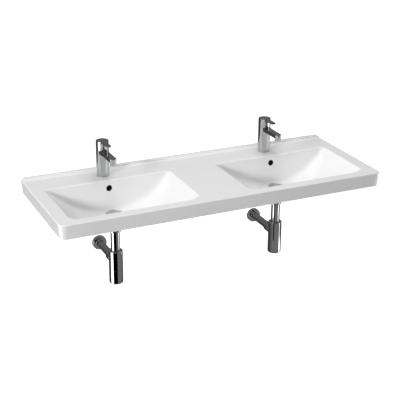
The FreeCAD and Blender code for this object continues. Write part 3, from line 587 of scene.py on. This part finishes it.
# %% [markdown]
# The studio
# Chrome shows whatever stands round it, so its look is made by the room and
# not by its colour. A product studio is a grey room with tall soft boxes and
# black flags, which give the crisp stripes. The camera itself sees a white
# backdrop. Rays that leave a shiny surface see a room of soft greys, darker
# behind the washbasin and above it. The room's own soft light is stronger from
# the left, which gives the bowls their shape.

# %% Colour the room
room_grey = 0.24
behind_grey = 0.08
roof_grey = 0.17
soft_left = 0.36
soft_right = 0.11
white = (1.0, 1.0, 1.0, 1.0)


def mix_shaders(tree, factor, first, second):
    node = tree.nodes.new("ShaderNodeMixShader")
    for socket, value in zip(node.inputs, (factor, first, second)):
        feed(tree, socket, value)
    return node.outputs[0]


def make_room():
    world = bpy.data.worlds.new("studio_room")
    bpy.context.scene.world = world
    world.use_nodes = True
    tree = world.node_tree
    tree.nodes.clear()
    output = tree.nodes.new("ShaderNodeOutputWorld")
    coords = tree.nodes.new("ShaderNodeTexCoord")
    parts = add(tree, "SeparateXYZ", Vector=coords.outputs["Generated"])
    ahead = add(tree, "MapRange", Value=parts.outputs["Y"], From_Min=0.45, From_Max=-0.35)
    walls = ramp(tree, ahead.outputs["Result"], [(0.0, behind_grey), (1.0, room_grey)])
    above = add(tree, "MapRange", Value=parts.outputs["Z"], From_Min=-0.05, From_Max=0.20)
    greys = mix_colours(tree, above.outputs["Result"], walls, (roof_grey, roof_grey, roof_grey, 1.0))
    shade = add(tree, "MapRange", Value=parts.outputs["X"], From_Min=-1.0, From_Max=1.0,
                To_Min=soft_left, To_Max=soft_right)
    shiny = add(tree, "Background", Color=greys, Strength=1.0)
    soft = add(tree, "Background", Color=white, Strength=shade.outputs["Result"])
    backdrop = add(tree, "Background", Color=white, Strength=1.0)
    path = tree.nodes.new("ShaderNodeLightPath")
    sharp = add(tree, "Math", "MAXIMUM", i0=path.outputs["Is Glossy Ray"],
                i1=path.outputs["Is Transmission Ray"])
    unseen = mix_shaders(tree, sharp.outputs[0], soft.outputs[0], shiny.outputs[0])
    room = mix_shaders(tree, path.outputs["Is Camera Ray"], unseen, backdrop.outputs[0])
    tree.links.new(room, output.inputs["Surface"])
    print(world.name, "nodes", len(tree.nodes))


make_room()

# %% [markdown]
# Soft boxes and flags
# Each is a flat sheet that stands close to the washbasin, so its mirror image
# slides along the chrome with height and side, as in a real studio. Above the
# rim the soft boxes are dimmer, because there the glaze mirrors them too. They
# give the reflections only. The light itself comes from lamps, which are easier
# to balance one by one.

# %% Stand a sheet
black = (0.0, 0.0, 0.0, 1.0)


def flat_sheet(name, segments, size, place):
    """A flat grid, set in its place by a matrix."""
    shape = bmesh.new()
    bmesh.ops.create_grid(shape, x_segments=segments, y_segments=segments, size=size)
    bmesh.ops.transform(shape, matrix=place, verts=shape.verts)
    mesh = bpy.data.meshes.new(name)
    shape.to_mesh(mesh)
    shape.free()
    sheet = bpy.data.objects.new(name, mesh)
    bpy.context.scene.collection.objects.link(sheet)
    return sheet


def stand_sheet(name, foot_a, foot_b, low, high, glow):
    """A standing sheet over the line between two points of the floor plan."""
    along = Vector((foot_b[0] - foot_a[0], foot_b[1] - foot_a[1], 0.0))
    middle = Vector(((foot_a[0] + foot_b[0]) / 2, (foot_a[1] + foot_b[1]) / 2, (low + high) / 2))
    upright = Vector((0.0, 0.0, high - low))
    facing = Matrix((along, upright, along.cross(upright).normalized())).transposed().to_4x4()
    sheet = flat_sheet(name, 1, 0.5, Matrix.Translation(middle) @ facing)
    material, tree, shader = new_tree(name)
    shader.inputs["Base Color"].default_value = black
    shader.inputs["Specular IOR Level"].default_value = 0.0
    shader.inputs["Emission Color"].default_value = white
    shader.inputs["Emission Strength"].default_value = glow
    sheet.data.materials.append(material)
    sheet.visible_camera = False
    sheet.visible_diffuse = False
    sheet.visible_shadow = False
    print(name, "wide", round(along.length, 2), "tall", round(upright.length, 2), "glow", glow)

# %% Stand the left side
box_glow = 3.5
upper_glow = 1.1
flag_glow = 0.0
rim_height = 0.0
sheet_top = 1.20
left_x = -1.3

stand_sheet("left_sheet", (left_x, -0.70), (left_x, 0.02), -0.95, rim_height, box_glow)
stand_sheet("left_sheet_top", (left_x, -0.70), (left_x, 0.02), rim_height, sheet_top, upper_glow)
stand_sheet("left_flag", (left_x, -0.70), (-1.15, -0.98), -0.60, sheet_top, flag_glow)
stand_sheet("near_flag", (-0.631, -0.345), (-0.425, -0.55), -0.57, -0.20, flag_glow)
stand_sheet("front_flag", (-0.471, -0.769), (-0.25, -0.99), -0.78, -0.28, flag_glow)

# %% Stand the right side
right_x = 1.3
lower_cut = -0.79
upper_cut = -0.45

stand_sheet("right_sheet_low", (right_x, -0.40), (right_x, -0.88), -1.05, lower_cut, box_glow)
stand_sheet("right_sheet_middle", (right_x, -0.72), (right_x, -1.20), lower_cut, upper_cut, box_glow)
stand_sheet("right_sheet_high", (right_x, -0.24), (right_x, -0.82), upper_cut, rim_height, box_glow)
stand_sheet("right_sheet_top", (right_x, -0.24), (right_x, -0.82), rim_height, sheet_top, upper_glow)
stand_sheet("right_flag_high", (right_x, -1.30), (0.78, -1.86), upper_cut, sheet_top, flag_glow)
stand_sheet("right_flag_back", (right_x, -0.45), (right_x, -0.72), lower_cut, upper_cut, flag_glow)
stand_sheet("right_flag_front", (right_x, -1.20), (0.80, -1.60), lower_cut, upper_cut, flag_glow)

# %% [markdown]
# Lamps
# A large soft box overhead gives the even light. A small one far to the left
# and in front shapes the bowls, leaves their left walls in shade and draws the
# shadows of the mixers to the right. A faint one lights the left end.

# %% Hang the lamps
def soft_box(name, place, target, size, power):
    data = bpy.data.lights.new(name, "AREA")
    data.shape = "RECTANGLE"
    data.size, data.size_y = size
    data.energy = power
    lamp = bpy.data.objects.new(name, data)
    bpy.context.scene.collection.objects.link(lamp)
    lamp.location = place
    lamp.rotation_mode = "QUATERNION"
    lamp.rotation_quaternion = (Vector(target) - Vector(place)).to_track_quat("-Z", "Y")
    lamp.visible_glossy = False


soft_box("overhead_box", (0.2, -0.2, 2.3), (0.0, -0.25, 0.0), (3.0, 2.0), 46.0)
soft_box("key_box", (-4.8, -3.0, 1.95), (-0.1, -0.2, 0.0), (0.75, 0.75), 176.0)
soft_box("side_box", (-2.2, 0.15, 0.15), (-0.65, -0.25, -0.03), (0.6, 0.4), 5.5)

# %% [markdown]
# The floor
# The washbasin hangs on a wall, so the floor is a plain pale sheet well below
# it. It is white to the camera and takes the washbasin's soft shadow, and shiny
# pieces look through it to the soft boxes of the room.

# %% Lay the floor
floor_height = -0.85
floor_half = 9.0
camera_glow = 0.90


def make_floor():
    floor = flat_sheet("studio_floor", 8, floor_half, Matrix.Translation((0.0, 0.0, floor_height)))
    material, tree, shader = new_tree("pale_floor")
    output = next(n for n in tree.nodes if n.type == "OUTPUT_MATERIAL")
    tint = ramp(tree, grain(tree, 1.5), [(0.3, 0.72), (0.7, 0.74)])
    tree.links.new(tint, shader.inputs["Base Color"])
    shader.inputs["Roughness"].default_value = 0.9
    path = tree.nodes.new("ShaderNodeLightPath")
    glow = add(tree, "Math", "MULTIPLY", i0=path.outputs["Is Camera Ray"], i1=camera_glow)
    shader.inputs["Emission Color"].default_value = white
    tree.links.new(glow.outputs[0], shader.inputs["Emission Strength"])
    clear = tree.nodes.new("ShaderNodeBsdfTransparent")
    seen = mix_shaders(tree, path.outputs["Is Glossy Ray"], shader.outputs["BSDF"], clear.outputs["BSDF"])
    tree.links.new(seen, output.inputs["Surface"])
    floor.data.materials.append(material)
    print(floor.name, "height", floor_height)


make_floor()
